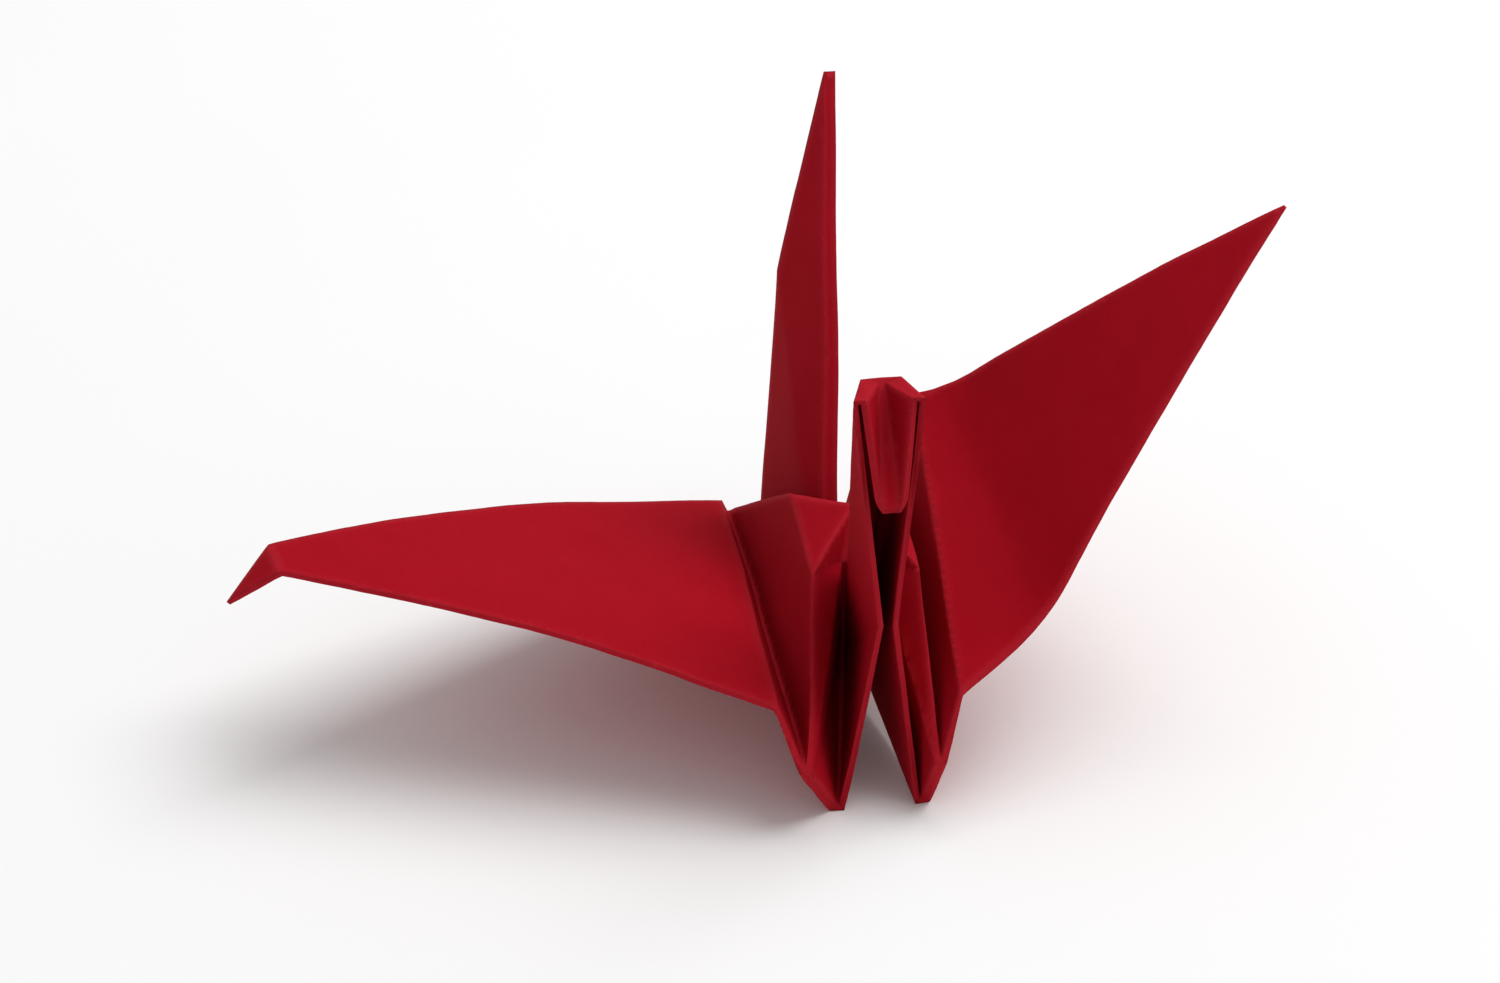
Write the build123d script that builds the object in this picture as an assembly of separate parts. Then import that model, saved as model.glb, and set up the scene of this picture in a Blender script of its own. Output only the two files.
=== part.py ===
from build123d import *
import os
from dataclasses import dataclass
from math import sin, cos, tan, radians, sqrt, pi
import numpy as np

# Folded paper crane, one square sheet folded flat and then opened a little.
# Millimetres. +Z up, the head looks along -Y, wings spread along X.
# Origin: on the floor, under the middle of the body.

# the sheet
paper_side = 75.0
paper_thickness = 0.10
layer_step = 0.22
slit_gap = 0.30

# body
right_wall_front = 2.9
right_wall_back = 2.9
left_wall_front = 5.2
left_wall_back = 5.8
left_back_hem_drop = 1.8
right_foot_out = 2.3
left_foot_out = 3.1
foot_drop = 4.5
hump_top_half_width = 3.4
hump_top_half_length = 4.5
hump_shoulder_height = 11.4
hump_crown_height = 13.3
dent_depth = 3.0
dent_reach = 1.9
dent_half_width = 1.1
spine_half_width = 0.50

# neck and head
neck_lean_degrees = 17.8
neck_pinch_at = 13.0
neck_pinch_half_width = 0.55
head_half_width = 2.1
nape_half_width = 1.2
beak_fold_back = 7.2
head_top_slope_degrees = 8.0
# further room between the neck's layers and the beak's, as a ratio of a layer step
beak_ease_ratio = 0.2
beak_tip_half_width = 0.60

# tail
tail_lean_degrees = 25.2
tail_root_sway = -1.3
tail_pinch_at = 22.0
tail_pinch_half_width = 1.2
tail_ridge_sway = -1.6
tail_tip_sway = 0.6
tip_half_width = 0.12
# the inner raw edges stop this far short of the tail's tip
tail_inner_drop = 1.32

# right wing: heights measured on the paper from the body's lower edge, bends in degrees
right_knee_front = 4.0
right_knee_back = 9.3
right_fold_front = 10.4
right_fold_back = 11.1
right_wall_lean_degrees = 17.5
right_knee_bend_degrees = 55.5
right_fold_bend_degrees = -34.7
right_curl_degrees = 6.2
right_tip_bend_degrees = 0.0

# left wing, measured the same way
left_knee_front = 4.0
left_knee_back = 1.0
left_fold_front = 11.3
left_fold_back = 13.6
left_wall_lean_degrees = 20.0
left_knee_bend_degrees = 51.0
left_fold_bend_degrees = 3.0
left_curl_degrees = 12.0
left_tip_bend_degrees = 48.0

# flat bands that a curled wing is made of
wing_bands = 6


@dataclass
class WingShape:
    """Fold lines of a wall and wing as (front, back) heights, and the bend at each."""
    wall_lean: float
    knee: tuple
    knee_bend: float
    fold: tuple
    fold_bend: float
    curl: float
    tip_bend: float


# points that agree to so many decimals are one, and weaker bends than this share are flat
merge_decimals = 5
flat_bend_ratio = 0.05

# lengths set by the folding of a square
half_side = paper_side / 2
base_half = half_side * (sqrt(2) - 1)
leg_angle = pi / 8

FRONT, BACK = -1, 1
RIGHT, LEFT = 1, -1

wall_out = {(RIGHT, FRONT): right_wall_front, (RIGHT, BACK): right_wall_back,
            (LEFT, FRONT): left_wall_front, (LEFT, BACK): left_wall_back}
hem_drop = {(RIGHT, FRONT): 0, (RIGHT, BACK): 0,
            (LEFT, FRONT): 0, (LEFT, BACK): left_back_hem_drop}
root_sway = {FRONT: 0, BACK: tail_root_sway}
foot_out = {RIGHT: right_foot_out, LEFT: left_foot_out}
wing_shape = {
    RIGHT: WingShape(
        wall_lean=right_wall_lean_degrees, knee=(right_knee_front, right_knee_back),
        knee_bend=right_knee_bend_degrees, fold=(right_fold_front, right_fold_back),
        fold_bend=right_fold_bend_degrees, curl=right_curl_degrees, tip_bend=right_tip_bend_degrees),
    LEFT: WingShape(
        wall_lean=left_wall_lean_degrees, knee=(left_knee_front, left_knee_back),
        knee_bend=left_knee_bend_degrees, fold=(left_fold_front, left_fold_back),
        fold_bend=left_fold_bend_degrees, curl=left_curl_degrees, tip_bend=left_tip_bend_degrees)}


def level(x, along, up, end):
    """Point given by its distance out from the middle towards one end."""
    return np.array([x, end * along, up + foot_drop])


def leg_profile(lean_degrees):
    """Flat outline of a leg folded up: foot, crotch and tip as (along, up)."""
    lean = radians(lean_degrees)
    rise = tan(lean / 2)
    ridge_part = foot_drop / cos(leg_angle)
    foot = np.array([base_half - ridge_part * sin(leg_angle), -foot_drop])
    crotch_drop = foot_drop - foot[0] * rise
    crotch = np.array([0.0, -crotch_drop])
    spine = half_side - crotch_drop
    tip = crotch + spine * np.array([sin(lean), cos(lean)])
    return foot, crotch, tip


def unit(vector):
    """Vector of length one."""
    return vector / np.linalg.norm(vector)


def sheet_edges(heights):
    """Flat front and back points of the wing triangle at two heights on its edges."""
    front, back = heights
    return (np.array([-base_half * (1 - front / half_side), front]),
            np.array([base_half * (1 - back / half_side), back]))


def fold_lines(shape):
    """Flat lines across the wing triangle, each with the bend made at the line before."""
    apex = np.array([0, half_side])
    fold = sheet_edges(shape.fold)
    lines = [(shape.wall_lean, sheet_edges(shape.knee)), (shape.knee_bend, fold)]
    for band in range(1, wing_bands + 1):
        share = band / wing_bands
        bend = shape.fold_bend if band == 1 else shape.curl / (wing_bands - 1)
        if band == wing_bands:
            bend += shape.tip_bend
        lines.append((bend, [point + share * (apex - point) for point in fold]))
    return lines


def wing_rows(side):
    """Wall and wing of a side folded up line by line: front, back, middle share."""
    inset = base_half - layer_step
    start, stop = [np.array([wall_out[side, end] + layer_step, end * inset,
                             layer_step - hem_drop[side, end]]) for end in (FRONT, BACK)]
    flat = sheet_edges((0, 0))
    outward = unit(np.cross(stop - start, (0, 0, 1)))
    rows = [(start, stop, 0.5)]
    for bend, line in fold_lines(wing_shape[side]):
        along = unit(stop - start)
        angle = radians(bend)
        climb = cos(angle) * np.cross(outward, along) + sin(angle) * outward
        outward = np.cross(along, climb)
        flat_along = unit(flat[1] - flat[0])
        flat_climb = np.array([-flat_along[1], flat_along[0]])
        corner = start if len(rows) > 1 else start - layer_step * along
        ends = []
        for point in line:
            step = point - flat[0]
            ends.append(corner + (step @ flat_along) * along + (step @ flat_climb) * climb)
        start, stop = ends
        flat = line
        middle = -line[0][0] / max(line[1][0] - line[0][0], layer_step)
        rows.append((start, stop, min(middle, 1)))
    return rows


def under_rows(rows):
    """The same rows moved down by one layer, mitred where the panel bends."""
    normals = []
    for (front, back, middle), (far_front, far_back, far_middle) in zip(rows, rows[1:]):
        normals.append(unit(np.cross(back - front, far_front - front)))
    moved = []
    for index, (front, back, middle) in enumerate(rows):
        before = normals[max(index - 1, 0)]
        after = normals[min(index, len(normals) - 1)]
        move = layer_step * (before + after) / (1 + before @ after)
        moved.append((front + move, back + move, middle))
    return moved


def placed(point, side):
    """Right-side point put on its side, raised to stand over the floor."""
    return np.array([side * point[0], point[1], point[2] + foot_drop])


def slit_ends(row):
    """Raw edges at a row: one each side of the middle line, as (front, back)."""
    front, back, middle = row
    breadth = np.linalg.norm(back - front)
    if breadth < slit_gap:
        return front, back
    half = slit_gap / 2 / breadth
    return front + (middle - half) * (back - front), front + (middle + half) * (back - front)


def wing_facets(side):
    """Wall and wing of one side: smooth top layer and two half layers under it."""
    tops = wing_rows(side)
    unders = under_rows(tops)
    facets = []
    last = len(tops) - 1
    for row in range(last):
        near, far = tops[row], tops[row + 1]
        near_names = [edge_name(side, FRONT, row), edge_name(side, BACK, row)]
        panel = [(near_names[0], placed(near[0], side)), (near_names[1], placed(near[1], side))]
        if row + 1 == last:
            panel.append((("A", side), placed(far[0], side)))
        else:
            panel.append((edge_name(side, BACK, row + 1), placed(far[1], side)))
            panel.append((edge_name(side, FRONT, row + 1), placed(far[0], side)))
        facets.append(panel)
        if row == 0:
            continue
        for end, pick in ((FRONT, 0), (BACK, 1)):
            slit, far_slit = slit_ends(unders[row])[pick], slit_ends(unders[row + 1])[pick]
            half = [(edge_name(side, end, row), placed(unders[row][pick], side)),
                    (("G", side, end, row), placed(slit, side))]
            if row + 1 == last:
                half.append((("A", side), placed(unders[row + 1][pick], side)))
            else:
                half.append((("G", side, end, row + 1), placed(far_slit, side)))
                half.append((edge_name(side, end, row + 1), placed(unders[row + 1][pick], side)))
            facets.append(half)
    return facets


def edge_name(side, end, row):
    """Name of the sheet corner where a row meets the folded wing edge."""
    if row == 0:
        return ("P", side, end)
    return ("U", side, end, row)


def wall_layer(side, end, foot, crotch):
    """Outer layer of the body wall below the knee, with its raw edge at the middle."""
    step = layer_step
    pick = 0 if end == FRONT else 1
    unders = under_rows(wing_rows(side))
    hem, knee = unders[0], unders[1]
    corner = level(side * (wall_out[side, end] + 2 * step), base_half, -hem_drop[side, end], end)
    sway = root_sway[end]
    foot_low = level(sway + side * (foot_out[side] + 2 * step), *foot, end)
    raw_low = level(sway + side * (spine_half_width + 3 * step), 3 * step, crotch[1] - step, end)
    return [
        (("P", side, end), corner),
        (("P1", side, end), foot_low),
        (("F", side, end), raw_low),
        (("G", side, end, 0), placed(slit_ends(hem)[pick], side)),
        (("G", side, end, 1), placed(slit_ends(knee)[pick], side)),
        (("U", side, end, 1), placed(knee[pick], side))]


def shoulder_point(side, end):
    """Corner of the flattened crown on one ridge of the hump."""
    return level(side * hump_top_half_width, hump_top_half_length,
                 hump_shoulder_height - foot_drop, end)


def body_facets(side, end, lean):
    """Outer wall layer, inner gusset and crown piece of one quarter of the body."""
    foot, crotch, _ = leg_profile(lean)
    step = layer_step
    shoulder = shoulder_point(side, end)
    sway = root_sway[end]
    dent = level(sway / 2 + side * dent_half_width, dent_reach,
                 hump_crown_height - dent_depth - foot_drop, end)
    gusset = [
        (("P", side, end), level(side * (wall_out[side, end] - step), base_half,
                                 -hem_drop[side, end], end)),
        (("P1", side, end), level(sway + side * foot_out[side], foot[0] - step,
                                  foot[1] + step, end)),
        (("E", end), level(sway + side * (spine_half_width + step), step, crotch[1] + step, end)),
        (("S", end), dent),
        (("H", side, end), shoulder)]
    cap = [(("O",), np.array([0, 0, hump_crown_height])),
           (("S", end), dent),
           (("H", side, end), shoulder)]
    return [wall_layer(side, end, foot, crotch), gusset, cap]


def hump_facets(side):
    """Sloping side of the hump and its piece of the flattened crown."""
    inset = base_half - layer_step
    foot = {end: level(side * wall_out[side, end], inset, layer_step - hem_drop[side, end], end)
            for end in (FRONT, BACK)}
    top = {end: shoulder_point(side, end) for end in (FRONT, BACK)}
    face = [(("P", side, FRONT), foot[FRONT]), (("P", side, BACK), foot[BACK]),
            (("H", side, BACK), top[BACK]), (("H", side, FRONT), top[FRONT])]
    crown = [(("O",), np.array([0, 0, hump_crown_height])),
             (("H", side, FRONT), top[FRONT]), (("H", side, BACK), top[BACK])]
    return [face, crown]


def arm_points(side, end, lean, pinch_at, pinch_half, sway):
    """Corner points shared by the neck and the tail, per layer."""
    foot, crotch, tip = leg_profile(lean)
    step = layer_step
    ridge = unit(tip - foot)
    pinch = foot + pinch_at * ridge
    root = root_sway[end]
    outer = {
        "P1": level(root + side * (foot_out[side] - step), foot[0] - step, foot[1] + step, end),
        "K": level(sway + side * pinch_half, *pinch, end),
        "E": level(root + side * spine_half_width, 2 * step, crotch[1] + 2 * step, end)}
    inner = {
        "P1": level(root + side * (foot_out[side] - 2 * step), foot[0], foot[1], end),
        "K": level(sway + side * (pinch_half - step), *pinch, end),
        "F": level(root + side * (spine_half_width - step), 3 * step, crotch[1] - step, end)}
    return foot, crotch, tip, outer, inner


def tail_facets(side):
    """One arm of the tail: outer layer on the spine and inner raw-edged layer."""
    end = BACK
    foot, crotch, tip, outer, inner = arm_points(
        side, end, tail_lean_degrees, tail_pinch_at, tail_pinch_half_width, tail_ridge_sway)
    outer_tip = level(tail_tip_sway + side * (tip_half_width + layer_step), *tip, end)
    below_tip = tip - tail_inner_drop * unit(tip - foot)
    # half way between the outer ridge line and the tip keeps it inside both arms
    share = tail_inner_drop / (np.linalg.norm(tip - foot) - tail_pinch_at) / 2
    inner_sway = tail_tip_sway + share * (tail_ridge_sway - tail_tip_sway)
    inner_tip = level(inner_sway + side * tip_half_width, *below_tip, end)
    tail_outer = [(("E", end), outer["E"]), (("P1", side, end), outer["P1"]),
                  (("K", side, end), outer["K"]), (("D",), outer_tip)]
    tail_inner = [(("F", side, end), inner["F"]), (("P1", side, end), inner["P1"]),
                  (("K", side, end), inner["K"]), (("D",), inner_tip)]
    return [tail_outer, tail_inner]


def neck_facets(side):
    """One arm of the neck with its half of the head folded inside it."""
    end = FRONT
    step = layer_step
    foot, crotch, tip, outer, inner = arm_points(
        side, end, neck_lean_degrees, neck_pinch_at, neck_pinch_half_width, 0)
    ridge = unit(tip - foot)
    spine = unit(tip - crotch)
    brow = tip - beak_fold_back * ridge
    slope = radians(head_top_slope_degrees)
    crease = np.array([cos(slope), sin(slope)])
    basis = np.array([crease, spine]).T
    across, down = np.linalg.solve(basis, brow - tip)
    nape = brow - across * crease
    beak_vector = tip - brow
    beak = brow + 2 * (beak_vector @ crease) * crease - beak_vector
    below = np.array([crease[1], -crease[0]])
    brow_in = brow + step * below - step * crease
    nape_in = nape + step * crease + step * below
    raw_top = nape + 3 * step * crease + step * below
    points = {
        "M_outer": level(side * head_half_width, *brow, end),
        "M_inner": level(side * (head_half_width - step), *brow_in, end),
        "M_beak_in": level(side * (head_half_width - (2 + beak_ease_ratio) * step), *brow_in, end),
        "M_beak": level(side * (head_half_width - (3 + beak_ease_ratio) * step), *brow, end),
        "N_outer": level(side * nape_half_width, *nape, end),
        "N_beak": level(side * tip_half_width * 2, *nape_in, end),
        "N2_inner": level(side * (nape_half_width - step), *raw_top, end),
        "N2_beak": level(side * (nape_half_width - 2 * step), *raw_top, end)}
    neck_outer = [(("E", end), outer["E"]), (("P1", side, end), outer["P1"]),
                  (("K", side, end), outer["K"]), (("M", side), points["M_outer"]),
                  (("N",), points["N_outer"])]
    neck_inner = [(("F", side, end), inner["F"]), (("P1", side, end), inner["P1"]),
                  (("K", side, end), inner["K"]), (("M", side), points["M_inner"]),
                  (("N2", side), points["N2_inner"])]
    beak_spine = [(("M", side), points["M_beak"]), (("N",), points["N_beak"]),
                  (("B",), level(side * beak_tip_half_width, *beak, end))]
    beak_raw = [(("M", side), points["M_beak_in"]), (("N2", side), points["N2_beak"]),
                (("B",), level(side * (beak_tip_half_width + step), *beak, end))]
    return [neck_outer, neck_inner, beak_spine, beak_raw]


def folded_sheet():
    """All facets of the sheet, each a list of (corner name, point)."""
    facets = []
    lean = {FRONT: neck_lean_degrees, BACK: tail_lean_degrees}
    for side in (RIGHT, LEFT):
        facets += wing_facets(side)
        facets += hump_facets(side)
        facets += tail_facets(side)
        facets += neck_facets(side)
        for end in (FRONT, BACK):
            facets += body_facets(side, end, lean[end])
    return facets


def facet_edges(facet):
    """Directed edges of a facet as pairs of corner names."""
    names = [name for name, point in facet]
    return list(zip(names, names[1:] + names[:1]))


def face_one_way(facets):
    """Turn facets so that each shared edge is walked in opposite directions."""
    done = {0}
    queue = [0]
    while queue:
        current = queue.pop()
        edges = facet_edges(facets[current])
        for other in range(len(facets)):
            if other in done:
                continue
            theirs = facet_edges(facets[other])
            same = [edge for edge in edges if edge in theirs]
            opposite = [edge for edge in edges if edge[::-1] in theirs]
            if not same and not opposite:
                continue
            if same:
                first = facets[other][:1]
                facets[other] = first + facets[other][:0:-1]
            done.add(other)
            queue.append(other)
    return facets


def sheet_polygons(facets):
    """Facets, the crease strips between them and the corner patches."""
    owner = {}
    for index, facet in enumerate(facets):
        for edge in facet_edges(facet):
            owner[edge] = index
    points = [dict(facet) for facet in facets]
    polygons = [[point for name, point in facet] for facet in facets]
    for (start, stop), index in owner.items():
        across = owner.get((stop, start))
        if across is not None and index < across:
            polygons.append([points[index][stop], points[index][start],
                             points[across][start], points[across][stop]])
    seen = set()
    for index, facet in enumerate(facets):
        for name, point in facet:
            if name in seen:
                continue
            patch = corner_patch(facets, owner, points, index, name)
            if patch:
                polygons.append(patch)
                seen.add(name)
    return polygons


def corner_patch(facets, owner, points, index, name):
    """Polygon that joins all the facets around one inner corner of the sheet."""
    patch = []
    current = index
    while True:
        patch.append(points[current][name])
        incoming = [edge for edge in facet_edges(facets[current]) if edge[1] == name][0]
        current = owner.get((name, incoming[0]))
        if current is None:
            return None
        if current == index:
            return patch


def triangles_of(polygons):
    """Merged points and triangles; coincident corners close a crease strip."""
    index_of = {}
    points = []
    triangles = []
    for polygon in polygons:
        loop = []
        for point in polygon:
            key = tuple(np.round(point, merge_decimals))
            if key not in index_of:
                index_of[key] = len(points)
                points.append(np.array(point, dtype=float))
            if index_of[key] not in loop:
                loop.append(index_of[key])
        if len(loop) == 4:
            first = np.linalg.norm(points[loop[0]] - points[loop[2]])
            second = np.linalg.norm(points[loop[1]] - points[loop[3]])
            if second < first:
                loop = loop[1:] + loop[:1]
        for step in range(1, len(loop) - 1):
            triangles.append((loop[0], loop[step], loop[step + 1]))
    return points, triangles


def offsets_of(points, triangles):
    """Move of each point that carries all its faces half a thickness out."""
    normals = [[] for point in points]
    for triangle in triangles:
        a, b, c = (points[corner] for corner in triangle)
        normal = unit(np.cross(b - a, c - a))
        for corner in triangle:
            normals[corner].append(normal)
    moves = []
    for rows in normals:
        move = np.linalg.lstsq(np.array(rows), np.ones(len(rows)), rcond=flat_bend_ratio)[0]
        moves.append(move * paper_thickness / 2)
    return moves


def thick_triangles(points, triangles):
    """Closed skin of the sheet: both faces and the cut edge all round."""
    moves = offsets_of(points, triangles)
    above = [point + move for point, move in zip(points, moves)]
    below = [point - move for point, move in zip(points, moves)]
    skin = []
    walked = set()
    for a, b, c in triangles:
        skin.append((above[a], above[b], above[c]))
        skin.append((below[c], below[b], below[a]))
        walked |= {(a, b), (b, c), (c, a)}
    for a, b in sorted(walked):
        if (b, a) not in walked:
            skin.append((above[b], above[a], below[a]))
            skin.append((above[b], below[a], below[b]))
    return skin


def paper_solid(skin):
    """Solid from the closed skin of triangles, set down on the floor."""
    faces = []
    lowest = min(corner[2] for corners in skin for corner in corners)
    skin = [[corner - np.array([0, 0, lowest]) for corner in corners] for corners in skin]
    for corners in skin:
        wire = Wire.make_polygon([Vector(*corner) for corner in corners], close=True)
        faces.append(Face(wire))
    return Solid(Shell(faces))


def folded_crane():
    """The crane as one solid sheet of folded paper."""
    facets = face_one_way(folded_sheet())
    points, triangles = triangles_of(sheet_polygons(facets))
    crane = paper_solid(thick_triangles(points, triangles))
    crane.label = "folded_crane"
    return crane


os.makedirs("parts", exist_ok=True)
crane = folded_crane()
print("valid", crane.is_valid, "volume", round(crane.volume, 1), "faces", len(crane.faces()))
print("box", crane.bounding_box())
export_step(crane, "parts/folded_crane.step")
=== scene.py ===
"""Dresses a folded paper crane: fine folded sheet, red paper finish, floor, lamps and camera."""
import logging
import math
from dataclasses import dataclass, field
from enum import Enum

import bmesh
import bpy
import numpy as np
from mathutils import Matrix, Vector, kdtree, noise


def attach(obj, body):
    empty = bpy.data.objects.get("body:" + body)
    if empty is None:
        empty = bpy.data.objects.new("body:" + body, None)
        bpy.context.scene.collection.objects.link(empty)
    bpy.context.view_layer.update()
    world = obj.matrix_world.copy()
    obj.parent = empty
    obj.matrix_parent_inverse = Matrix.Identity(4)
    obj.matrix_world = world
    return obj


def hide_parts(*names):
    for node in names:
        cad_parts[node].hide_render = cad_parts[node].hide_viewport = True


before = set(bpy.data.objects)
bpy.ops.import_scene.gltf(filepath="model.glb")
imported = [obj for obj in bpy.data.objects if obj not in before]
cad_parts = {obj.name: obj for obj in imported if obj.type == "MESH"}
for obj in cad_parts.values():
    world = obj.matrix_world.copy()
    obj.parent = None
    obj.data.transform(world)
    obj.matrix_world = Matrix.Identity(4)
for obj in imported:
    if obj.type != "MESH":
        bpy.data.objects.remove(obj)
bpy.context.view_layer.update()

LOG = logging.getLogger("crane")
MM = 0.001
CRANE_NODE = "folded_crane"
BODY = "root"
Colour = tuple[float, float, float, float]
Triple = tuple[float, float, float]
Pair = tuple[float, float]
Line = tuple[Vector, Vector]


class EdgeKind(Enum):
    """What an edge of the sheet's skin is."""

    SOFT = 0
    BEND = 1
    FOLD = 2
    RAW = 3


class Socket:
    """A shader value with the usual operators, each of which adds a Math node."""

    def __init__(self, maker: "ShaderMaker", socket: bpy.types.NodeSocket) -> None:
        """Keeps the socket and the maker that adds nodes beside it.

        Args:
            maker: the material's node maker.
            socket: the output socket that is wrapped.
        """
        self.maker = maker
        self.socket = socket

    def _math(self, operation: str, *values: "Socket | float", clamp: bool = False) -> "Socket":
        """Adds a Math node.

        Args:
            operation: the Math node's operation.
            values: sockets or numbers for its inputs.
            clamp: keeps the result between 0 and 1.

        Returns:
            The node's result.
        """
        settings = {"operation": operation, "use_clamp": clamp}
        return self.maker.add("ShaderNodeMath", settings, dict(enumerate(values)))

    def __add__(self, other: "Socket | float") -> "Socket":
        """Sum."""
        return self._math("ADD", self, other)

    def __radd__(self, other: float) -> "Socket":
        """Sum with a number on the left."""
        return self._math("ADD", other, self)

    def __sub__(self, other: "Socket | float") -> "Socket":
        """Difference."""
        return self._math("SUBTRACT", self, other)

    def __rsub__(self, other: float) -> "Socket":
        """Difference with a number on the left."""
        return self._math("SUBTRACT", other, self)

    def __mul__(self, other: "Socket | float") -> "Socket":
        """Product."""
        return self._math("MULTIPLY", self, other)

    def __rmul__(self, other: float) -> "Socket":
        """Product with a number on the left."""
        return self._math("MULTIPLY", other, self)

    def clamped(self) -> "Socket":
        """The value kept between 0 and 1."""
        return self._math("ADD", self, 0.0, clamp=True)


class ShaderMaker:
    """Adds nodes to one material."""

    def __init__(self, name: str) -> None:
        """Makes an empty material.

        Args:
            name: the material's name.
        """
        self.material = bpy.data.materials.new(name)
        self.material.use_nodes = True
        self.tree = self.material.node_tree
        self.tree.nodes.clear()

    def add(
        self,
        kind: str,
        settings: dict[str, object] | None = None,
        inputs: dict[str | int, object] | None = None,
        output: str | int = 0,
    ) -> Socket:
        """Adds any node: its type, then its settings, then its sockets.

        Args:
            kind: the node's type name.
            settings: attributes of the node.
            inputs: values or links by socket name or number.
            output: the socket that is handed back.

        Returns:
            The chosen output.
        """
        node = self.tree.nodes.new(kind)
        for key, value in (settings or {}).items():
            setattr(node, key, value)
        for key, value in (inputs or {}).items():
            if isinstance(value, Socket):
                self.tree.links.new(value.socket, node.inputs[key])
            else:
                node.inputs[key].default_value = value
        return Socket(self, node.outputs[output])

    def place(self) -> Socket:
        """Position in the object's own space."""
        return self.add("ShaderNodeTexCoord", output="Object")

    def grain(self, place: Socket, size: float, detail: float, rough: float) -> Socket:
        """Cloudy noise from 0 to 1.

        Args:
            place: where the noise is read.
            size: distance between its lumps in metres.
            detail: how many finer layers it has.
            rough: how strong the finer layers are.

        Returns:
            The noise value.
        """
        inputs = {"Vector": place, "Scale": 1.0 / size, "Detail": detail, "Roughness": rough}
        return self.add("ShaderNodeTexNoise", {"noise_dimensions": "3D"}, inputs, "Fac")

    def blend(self, amount: Socket | float, first: object, second: object) -> Socket:
        """Mix of two colours.

        Args:
            amount: share of the second colour.
            first: colour or socket.
            second: colour or socket.

        Returns:
            The mixed colour.
        """
        settings = {"data_type": "RGBA", "blend_type": "MIX"}
        return self.add("ShaderNodeMix", settings, {0: amount, 6: first, 7: second}, 2)

    def attribute(self, name: str) -> Socket:
        """Value that the mesh keeps on its points."""
        return self.add("ShaderNodeAttribute", {"attribute_name": name}, output="Fac")

    def finish(self, surface: Socket) -> bpy.types.Material:
        """Links the surface to the material's output.

        Args:
            surface: the surface shader.

        Returns:
            The finished material.
        """
        output = self.tree.nodes.new("ShaderNodeOutputMaterial")
        self.tree.links.new(surface.socket, output.inputs["Surface"])
        return self.material


@dataclass(frozen=True)
class PaperFinish:
    """Dyed paper, matt, with a fine felt and paler folds that are partly rubbed wear and partly a
    painted highlight.
    """

    name: str = "red_paper_finish"
    deep: Colour = (0.310, 0.0020, 0.0080, 1.0)
    bright: Colour = (0.400, 0.0050, 0.0155, 1.0)
    # Pale fold colour: partly rubbed wear, partly a painted highlight on the fold ridges.
    wear_and_highlight: Colour = (0.500, 0.0300, 0.0450, 1.0)
    cut: Colour = (0.280, 0.0050, 0.0110, 1.0)
    felt_size: float = 0.16 * MM
    felt_detail: Pair = (2.0, 0.6)
    cloud_size: float = 3.2 * MM
    cloud_detail: Pair = (4.0, 0.55)
    fibre_size: float = 0.55 * MM
    fibre_detail: Pair = (3.0, 0.65)
    fibre_stretch: Triple = (1.0, 0.22, 0.35)
    fibre_turn: Triple = (0.3, 0.5, 0.7)
    cockle_size: float = 5.0 * MM
    cockle_detail: Pair = (1.0, 0.4)
    cloud_share: float = 0.55
    fibre_share: float = 0.30
    felt_share: float = 0.35
    mottle_drop: float = 0.10
    roughness: float = 0.82
    roughness_spread: float = 0.16
    specular: float = 0.04
    felt_height: float = 0.012 * MM
    cockle_height: float = 0.09 * MM
    relief_strength: float = 0.6
    # Strength of the paler folds, partly rubbed wear and partly a painted highlight, broken up by
    # the felt.
    wear_and_highlight_strength: float = 0.40
    wear_and_highlight_base: float = 0.35
    wear_and_highlight_felt: float = 0.9
    rub_polish: float = 0.08
    cut_strength: float = 0.40

    def material(self) -> bpy.types.Material:
        """Makes the paper's material.

        Returns:
            The new material.
        """
        maker = ShaderMaker(self.name)
        place = maker.place()
        felt = maker.grain(place, self.felt_size, *self.felt_detail)
        cloud = maker.grain(place, self.cloud_size, *self.cloud_detail)
        stretched = maker.add(
            "ShaderNodeMapping",
            {"vector_type": "POINT"},
            {"Vector": place, "Scale": self.fibre_stretch, "Rotation": self.fibre_turn},
        )
        fibre = maker.grain(stretched, self.fibre_size, *self.fibre_detail)
        cockle = maker.grain(place, self.cockle_size, *self.cockle_detail)
        fold = maker.attribute("fold")
        raw = maker.attribute("raw_edge")

        mottle = cloud * self.cloud_share + fibre * self.fibre_share + felt * self.felt_share
        dyed = maker.blend((mottle - self.mottle_drop).clamped(), self.deep, self.bright)
        # Paler along the folds: partly rubbed wear, partly a painted highlight along the fold
        # ridges.
        wear_and_highlight_mask = (fold * (self.wear_and_highlight_base + felt * self.wear_and_highlight_felt) * self.wear_and_highlight_strength).clamped()
        with_wear_and_highlight = maker.blend(wear_and_highlight_mask, dyed, self.wear_and_highlight)
        cutting = (raw * self.cut_strength).clamped()
        colour = maker.blend(cutting, with_wear_and_highlight, self.cut)

        rough = (self.roughness - self.roughness_spread / 2) + felt * self.roughness_spread
        rough = (rough - fold * self.rub_polish).clamped()
        height = felt * self.felt_height + fibre * self.felt_height
        height = height + cockle * self.cockle_height
        relief = {"Strength": self.relief_strength, "Distance": 1.0, "Height": height}
        bump = maker.add("ShaderNodeBump", {}, relief, "Normal")
        surface = maker.add(
            "ShaderNodeBsdfPrincipled",
            {},
            {
                "Base Color": colour,
                "Roughness": rough,
                "Normal": bump,
                "Specular IOR Level": self.specular,
            },
        )
        return maker.finish(surface)


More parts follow.
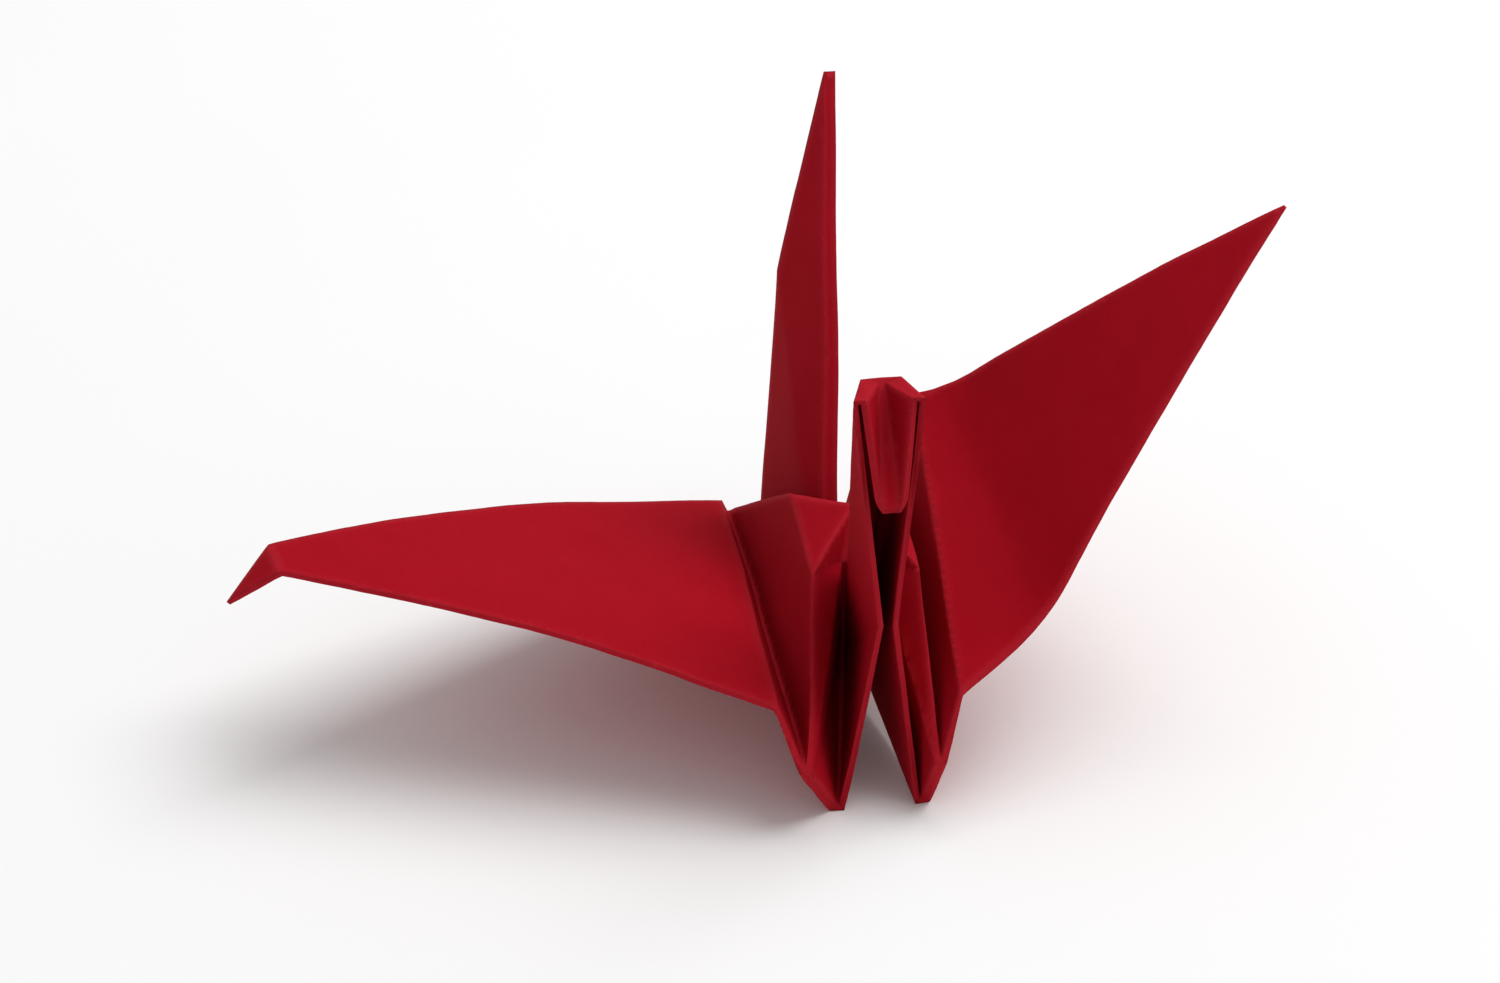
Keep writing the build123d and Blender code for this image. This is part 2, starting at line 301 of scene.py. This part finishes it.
@dataclass(frozen=True)
class FloorFinish:
    """Pale matt board."""

    name: str = "pale_board"
    light: Colour = (0.93, 0.93, 0.93, 1.0)
    shade: Colour = (0.90, 0.90, 0.90, 1.0)
    cloud_size: float = 60.0 * MM
    cloud_detail: Pair = (2.0, 0.5)

    def material(self) -> bpy.types.Material:
        """Makes the floor's material.

        Returns:
            The new material.
        """
        maker = ShaderMaker(self.name)
        cloud = maker.grain(maker.place(), self.cloud_size, *self.cloud_detail)
        colour = maker.blend(cloud, self.light, self.shade)
        surface = maker.add("ShaderNodeBsdfDiffuse", {}, {"Color": colour})
        return maker.finish(surface)


@dataclass(frozen=True)
class WideBend:
    """Bend of the right wing beside the body, a wide curve in place of a sharp fold."""

    start: Triple = (10.02 * MM, -10.72 * MM, 10.97 * MM)
    end: Triple = (7.72 * MM, 11.10 * MM, 14.13 * MM)
    inward: Triple = (-0.567, -0.176, 0.805)
    angle: float = math.radians(34.7)
    reach: float = 2.7 * MM
    depth: Pair = (1.8 * MM, 3.0 * MM)

    def moved(self, point: Vector) -> Vector:
        """Moves a point from beside the fold onto the curve.

        Args:
            point: the point's place.

        Returns:
            Its new place.
        """
        inward = Vector(self.inward)
        across = (Vector(self.end) - Vector(self.start)).normalized().cross(inward)
        apart = point - Vector(self.start)
        near = max(0.0, 1.0 - abs(apart.dot(across)) / self.reach)
        full, none = self.depth
        held = min(1.0, max(0.0, (none - abs(apart.dot(inward))) / (none - full)))
        rise = math.tan(self.angle / 2) * self.reach / 2
        return point + inward * (rise * near * near * held)


@dataclass
class FoldedSheet:
    """The crane's sheet with softened bends, a slight waviness and marked folds."""

    name: str = "crane_paper"
    finish: PaperFinish = field(default_factory=PaperFinish)
    bend: WideBend = field(default_factory=WideBend)
    weld: float = 0.002 * MM
    raw_width: float = 0.112 * MM
    bend_angle: float = math.radians(24)
    fold_angle: float = math.radians(36)
    sharp_angle: float = math.radians(50)
    edge_near_fold: float = 0.46 * MM
    edge_far: float = 1.5 * MM
    edge_growth: float = 0.9
    rounds: int = 60
    longest_slack: float = 1.001
    soft_from: float = 2.9 * MM
    soft_to: float = 4.2 * MM
    soft_passes: int = 16
    rim_share: float = 0.5
    fold_passes: int = 2
    beak_end: float = 21.3 * MM
    beak_back: float = -12.08 * MM
    beak_half: float = 1.6 * MM
    beak_round: float = 1.2 * MM
    beak_draw: float = 0.85
    beak_limit: float = 1.15
    shared_points: int = 32
    wave_height: float = 0.16 * MM
    wave_length: float = 11.0 * MM
    ripple_height: float = 0.03 * MM
    ripple_length: float = 3.5 * MM
    wave_seed: int = 7
    held_height: float = 4.0 * MM
    fold_reach: float = 0.42 * MM
    raw_reach: float = 0.30 * MM

    def build(self, node: bpy.types.Object) -> bpy.types.Object:
        """Makes the dressed sheet from the solid's skin.

        Args:
            node: the solid's object.

        Returns:
            The new piece.
        """
        skin = bmesh.new()
        skin.from_mesh(node.data)
        bmesh.ops.remove_doubles(skin, verts=skin.verts, dist=self.weld)
        lines = self._marked_lines(skin)
        self._refine(skin, self._line_tree(lines[EdgeKind.BEND] + lines[EdgeKind.FOLD]))
        near_fold = self._nearness(skin, lines[EdgeKind.FOLD], self.fold_reach)
        near_raw = self._nearness(skin, lines[EdgeKind.RAW], self.raw_reach)
        for face in skin.faces:
            face.smooth = True
        self._soften(skin)
        self._wave(skin)
        mesh = bpy.data.meshes.new(self.name)
        skin.normal_update()
        skin.to_mesh(mesh)
        skin.free()
        for name, values in (("fold", near_fold), ("raw_edge", near_raw)):
            mesh.attributes.new(name, "FLOAT", "POINT").data.foreach_set("value", values)
        piece = bpy.data.objects.new(self.name, mesh)
        bpy.context.scene.collection.objects.link(piece)
        mesh.materials.append(self.finish.material())
        LOG.info("%s: %d points, %d faces", self.name, len(mesh.vertices), len(mesh.polygons))
        return piece

    def _kind(self, edge: bmesh.types.BMEdge) -> EdgeKind:
        """Tells a fold from a raw edge and from a soft bend.

        Args:
            edge: an edge of the solid's skin.

        Returns:
            The edge's kind.
        """
        if len(edge.link_faces) != 2:
            return EdgeKind.RAW
        if min(self._face_width(face) for face in edge.link_faces) < self.raw_width:
            return EdgeKind.RAW
        angle = edge.calc_face_angle(0.0)
        if angle > self.fold_angle:
            return EdgeKind.FOLD
        return EdgeKind.BEND if angle > self.bend_angle else EdgeKind.SOFT

    @staticmethod
    def _face_width(face: bmesh.types.BMFace) -> float:
        """Height of a three-cornered face over its longest edge."""
        return 2 * face.calc_area() / max(edge.calc_length() for edge in face.edges)

    def _marked_lines(self, skin: bmesh.types.BMesh) -> dict[EdgeKind, list[Line]]:
        """Lists the edges of each kind as pairs of end points.

        Args:
            skin: the solid's skin.

        Returns:
            The lines of each kind.
        """
        lines = {kind: [] for kind in EdgeKind}
        for edge in skin.edges:
            kind = self._kind(edge)
            edge.smooth = kind is not EdgeKind.RAW
            lines[kind].append((edge.verts[0].co.copy(), edge.verts[1].co.copy()))
        return lines

    def _line_tree(self, lines: list[Line]) -> kdtree.KDTree:
        """Puts points along lines in a search tree.

        Args:
            lines: pairs of end points.

        Returns:
            The balanced tree.
        """
        step = self.edge_near_fold / 2
        points = []
        for start, end in lines:
            count = max(1, math.ceil((end - start).length / step))
            points += [start.lerp(end, i / count) for i in range(count + 1)]
        tree = kdtree.KDTree(len(points))
        for index, point in enumerate(points):
            tree.insert(point, index)
        tree.balance()
        return tree

    def _refine(self, skin: bmesh.types.BMesh, tree: kdtree.KDTree) -> None:
        """Halves long edges, one to a face at a time, down to a short length near folds.

        Args:
            skin: the skin that is cut finer.
            tree: points along the folds.
        """
        for _ in range(self.rounds):
            taken = set()
            cut = []
            for edge in sorted(skin.edges, key=lambda e: -e.calc_length()):
                length = edge.calc_length()
                if length <= self.edge_near_fold:
                    break
                if not taken.isdisjoint(edge.link_faces) or not self._is_longest(edge, length):
                    continue
                distance = tree.find((edge.verts[0].co + edge.verts[1].co) / 2)[2]
                if length > min(self.edge_far, self.edge_near_fold + self.edge_growth * distance):
                    cut.append(edge)
                    taken.update(edge.link_faces)
            if not cut:
                break
            for edge in cut:
                _, middle = bmesh.utils.edge_split(edge, edge.verts[0], 0.5)
                for loop in list(middle.link_loops):
                    far = loop.link_loop_next.link_loop_next.vert
                    bmesh.utils.face_split(loop.face, middle, far)

    def _is_longest(self, edge: bmesh.types.BMEdge, length: float) -> bool:
        """Tells whether an edge is nearly the longest of one of its faces.

        Args:
            edge: an edge of the skin.
            length: the edge's length.

        Returns:
            True if one of its faces has no edge that is clearly longer.
        """
        reach = length * self.longest_slack
        return any(all(e.calc_length() <= reach for e in f.edges) for f in edge.link_faces)

    def _soften(self, skin: bmesh.types.BMesh) -> None:
        """Curves the right wing, rounds the wings' bends, then all folds a little.

        Args:
            skin: the refined skin.
        """
        skin.verts.index_update()
        start = np.array([self.bend.moved(v.co) for v in skin.verts])
        ends = np.array([[v.index for v in e.verts] for e in skin.edges])
        raw = np.array([not e.smooth for e in skin.edges])
        sharp = np.array([e.calc_face_angle(0.0) > self.sharp_angle for e in skin.edges])
        reach = (np.abs(start[:, 0]) - self.soft_from) / (self.soft_to - self.soft_from)
        on_wing = np.clip(reach, 0, 1)
        rim = sharp & (on_wing[ends].min(axis=1) > self.rim_share)
        place = self._evened(start, ends, raw | sharp, on_wing, self.soft_passes)
        place = self._evened(place, ends, raw | rim, np.ones(len(start)), self.fold_passes)
        move = self._shared(start, place - start)
        for vertex, point in zip(skin.verts, start + move):
            vertex.co = point
            self._round_beak(vertex)

    def _round_beak(self, vertex: bmesh.types.BMVert) -> None:
        """Draws a point at the end of the beak inwards, for a tongue's round end.

        Args:
            vertex: a point of the skin.
        """
        point = vertex.co
        near = 1.0 - (point.z - self.beak_end) / self.beak_round
        ahead = point.y < self.beak_back and abs(point.x) < self.beak_half
        if ahead and 0.0 < near < self.beak_limit:
            point.x *= math.sqrt(1.0 - self.beak_draw * min(near, 1.0) ** 2)

    @staticmethod
    def _evened(
        place: np.ndarray, ends: np.ndarray, held: np.ndarray, share: np.ndarray, passes: int
    ) -> np.ndarray:
        """Draws points half way to the middle of their neighbours, again and again.

        Args:
            place: the points.
            ends: the two points of each edge.
            held: the edges whose line is kept, as their points only move along it.
            share: how much of the move each point makes.
            passes: number of turns.

        Returns:
            The evened points.
        """
        degree = np.bincount(ends[held].ravel(), minlength=len(place))
        both = np.concatenate([ends, ends[:, ::-1]])
        used = np.concatenate([held, held]) | (degree == 0)[both[:, 0]]
        own, other = both[used].T
        number = np.bincount(own, minlength=len(place))
        weight = share / 2 * ((degree == 0) | (degree == 2))
        for _ in range(passes):
            total = np.zeros_like(place)
            np.add.at(total, own, place[other])
            place = place + weight[:, None] * (total / number[:, None] - place)
        return place

    def _shared(self, place: np.ndarray, move: np.ndarray) -> np.ndarray:
        """Evens out moves over near points, so that stacked layers move together.

        Args:
            place: the points.
            move: each point's own move.

        Returns:
            The evened moves.
        """
        tree = kdtree.KDTree(len(place))
        for index, point in enumerate(place):
            tree.insert(point, index)
        tree.balance()
        near = [[i for _, i, _ in tree.find_n(point, self.shared_points)] for point in place]
        return move[np.array(near)].mean(axis=1)

    def _wave(self, skin: bmesh.types.BMesh) -> None:
        """Sways the sheet a little, the same for all layers at one place.

        Args:
            skin: the softened skin.
        """
        noise.seed_set(self.wave_seed)
        for vertex in skin.verts:
            point = vertex.co.copy()
            held = min(1.0, max(0.0, point.z / self.held_height))
            wave = noise.noise_vector(point / self.wave_length) * self.wave_height
            ripple = noise.noise_vector(point / self.ripple_length) * self.ripple_height
            vertex.co = point + (wave + ripple) * held

    def _nearness(
        self, skin: bmesh.types.BMesh, lines: list[Line], reach: float
    ) -> list[float]:
        """Tells for each point how near it is to the lines, 1 on them and 0 beyond the reach.

        Args:
            skin: the refined skin.
            lines: pairs of end points.
            reach: distance at which the value is down to zero.

        Returns:
            The values in the order of the points.
        """
        tree = self._line_tree(lines)
        return [max(0.0, 1.0 - tree.find(v.co)[2] / reach) for v in skin.verts]


@dataclass
class Studio:
    """Floor, lamps, plain surroundings and the camera."""

    floor_side: float = 3.0
    eye: Triple = (-0.03164, -0.17885, 0.13848)
    aim: Triple = (-0.0066, 0.0, 0.0150)
    lens: float = 84.0
    sensor: float = 36.0
    nearest: float = 5.0 * MM
    sky_strength: float = 0.50
    top_power: float = 5.2
    top_size: float = 0.6
    top_place: Triple = (0.34, 0.10, 0.75)
    finish: FloorFinish = field(default_factory=FloorFinish)

    def build(self) -> None:
        """Makes everything round the crane."""
        self._floor()
        self._sky()
        self._lamp("top_lamp", self.top_place, self.top_power, self.top_size)
        self._camera()

    def _floor(self) -> None:
        """Lays the floor under the crane."""
        half = self.floor_side / 2
        mesh = bpy.data.meshes.new("floor")
        corners = [(-half, -half, 0), (half, -half, 0), (half, half, 0), (-half, half, 0)]
        mesh.from_pydata(corners, [], [(0, 1, 2, 3)])
        mesh.materials.append(self.finish.material())
        floor = bpy.data.objects.new("floor", mesh)
        bpy.context.scene.collection.objects.link(floor)
        LOG.info("floor: %.1f m square", self.floor_side)

    def _sky(self) -> None:
        """Sets the plain soft light from all round."""
        world = bpy.data.worlds.new("studio_air")
        world.use_nodes = True
        background = world.node_tree.nodes["Background"]
        background.inputs["Color"].default_value = (1.0, 1.0, 1.0, 1.0)
        background.inputs["Strength"].default_value = self.sky_strength
        bpy.context.scene.world = world
        LOG.info("studio air: strength %.2f", self.sky_strength)

    def _lamp(self, name: str, place: Triple, power: float, size: float) -> None:
        """Hangs a square soft lamp that looks at the crane.

        Args:
            name: the lamp's name.
            place: where it hangs.
            power: watts.
            size: side of its square.
        """
        data = bpy.data.lights.new(name, "AREA")
        data.energy = power
        data.size = size
        lamp = bpy.data.objects.new(name, data)
        lamp.location = place
        aim = Vector(self.aim) - Vector(place)
        lamp.rotation_euler = aim.to_track_quat("-Z", "Y").to_euler()
        bpy.context.scene.collection.objects.link(lamp)
        LOG.info("%s: %.1f W, %.2f m", name, power, size)

    def _camera(self) -> None:
        """Sets the camera at the photograph's viewing angle."""
        data = bpy.data.cameras.new("camera")
        data.lens = self.lens
        data.sensor_width = self.sensor
        data.clip_start = self.nearest
        camera = bpy.data.objects.new("camera", data)
        camera.location = self.eye
        aim = Vector(self.aim) - Vector(self.eye)
        camera.rotation_euler = aim.to_track_quat("-Z", "Y").to_euler()
        bpy.context.scene.collection.objects.link(camera)
        bpy.context.scene.camera = camera
        LOG.info("camera: %.0f mm lens", self.lens)


def main() -> None:
    """Builds the crane's dressed sheet and the studio, hangs the sheet on the crane's body and
    hides the solid crane.
    """
    logging.basicConfig(level=logging.INFO, format="%(name)s: %(message)s")
    bpy.context.scene.view_settings.view_transform = "Standard"
    Studio().build()
    sheet = FoldedSheet().build(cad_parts[CRANE_NODE])
    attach(sheet, BODY)
    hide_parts(CRANE_NODE)


if __name__ == "__main__":
    main()
